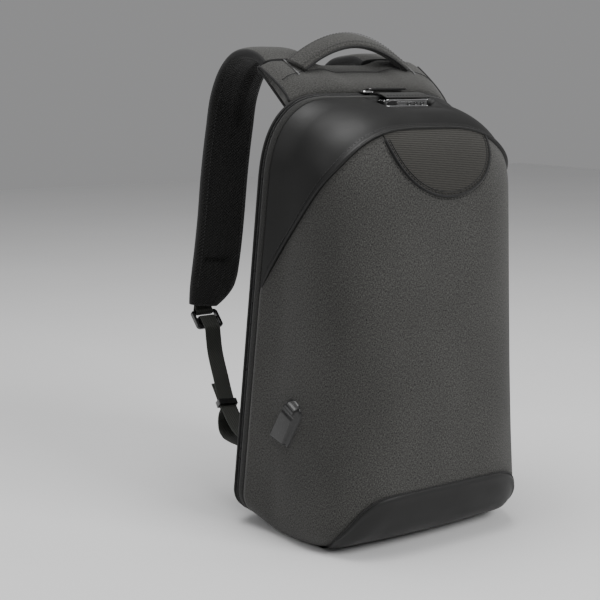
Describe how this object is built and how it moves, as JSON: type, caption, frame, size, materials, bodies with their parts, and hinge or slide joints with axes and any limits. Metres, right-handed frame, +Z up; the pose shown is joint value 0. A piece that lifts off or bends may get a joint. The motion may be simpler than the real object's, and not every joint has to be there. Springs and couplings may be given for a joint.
{
  "type": "anti theft backpack",
  "caption": "Slim upright backpack in grey melange cloth with a smooth coated top, padded carry handle, number lock and two padded shoulder straps.",
  "frame": {"origin": "on the ground at the middle of the base", "axes": "+X to the right seen from the front, +Y towards the wearer's back, +Z up"},
  "size_m": [0.2806, 0.2996, 0.5084],
  "materials": {
    "grey_cloth": "matt melange weave",
    "dark_cloth": "matt weave",
    "coated_cloth": "smooth satin coating",
    "ribbed_cloth": "matt with fine ribs",
    "zip_tape": "matt",
    "air_mesh": "matt mesh",
    "webbing": "matt woven",
    "gloss_black": "glossy",
    "dial_black": "glossy",
    "lock_metal": "dark polished",
    "soft_rubber": "satin"
  },
  "bodies": {
    "bag": {"front_panel": "grey_cloth", "upper_panel": "coated_cloth", "lower_panel": "coated_cloth", "logo_patch": "ribbed_cloth", "side_band": "grey_cloth", "main_zip": "zip_tape", "edge_binding": "zip_tape", "back_panel": "dark_cloth", "back_pad": "air_mesh", "top_yoke": "grey_cloth", "carry_handle": "grey_cloth", "lock_housing": "lock_metal", "lock_flap": "grey_cloth", "zip_slider": "lock_metal", "zip_pull": "gloss_black", "usb_cover": "soft_rubber", "handle_trim_left": "lock_metal", "shoulder_strap_left": "air_mesh", "strap_loop_left": "webbing", "ladder_lock_left": "gloss_black", "strap_webbing_left": "webbing", "webbing_end_left": "webbing", "web_slider_left": "gloss_black", "anchor_tab_left": "webbing", "handle_trim_right": "lock_metal", "shoulder_strap_right": "air_mesh", "strap_loop_right": "webbing", "ladder_lock_right": "gloss_black", "strap_webbing_right": "webbing", "webbing_end_right": "webbing", "web_slider_right": "gloss_black", "anchor_tab_right": "webbing"},
    "dial_1": {"lock_dial_1": "dial_black"},
    "dial_2": {"lock_dial_2": "dial_black"},
    "dial_3": {"lock_dial_3": "dial_black"}
  },
  "joints": [
    {"name": "dial_1_turn", "type": "hinge", "parent": "bag", "child": "dial_1", "pos_m": [0.0285, 0.02065, 0.43395], "axis": [1, 0, 0], "continuous": true},
    {"name": "dial_2_turn", "type": "hinge", "parent": "bag", "child": "dial_2", "pos_m": [0.037, 0.02065, 0.43395], "axis": [1, 0, 0], "continuous": true},
    {"name": "dial_3_turn", "type": "hinge", "parent": "bag", "child": "dial_3", "pos_m": [0.0455, 0.02065, 0.43395], "axis": [1, 0, 0], "continuous": true}
  ]
}
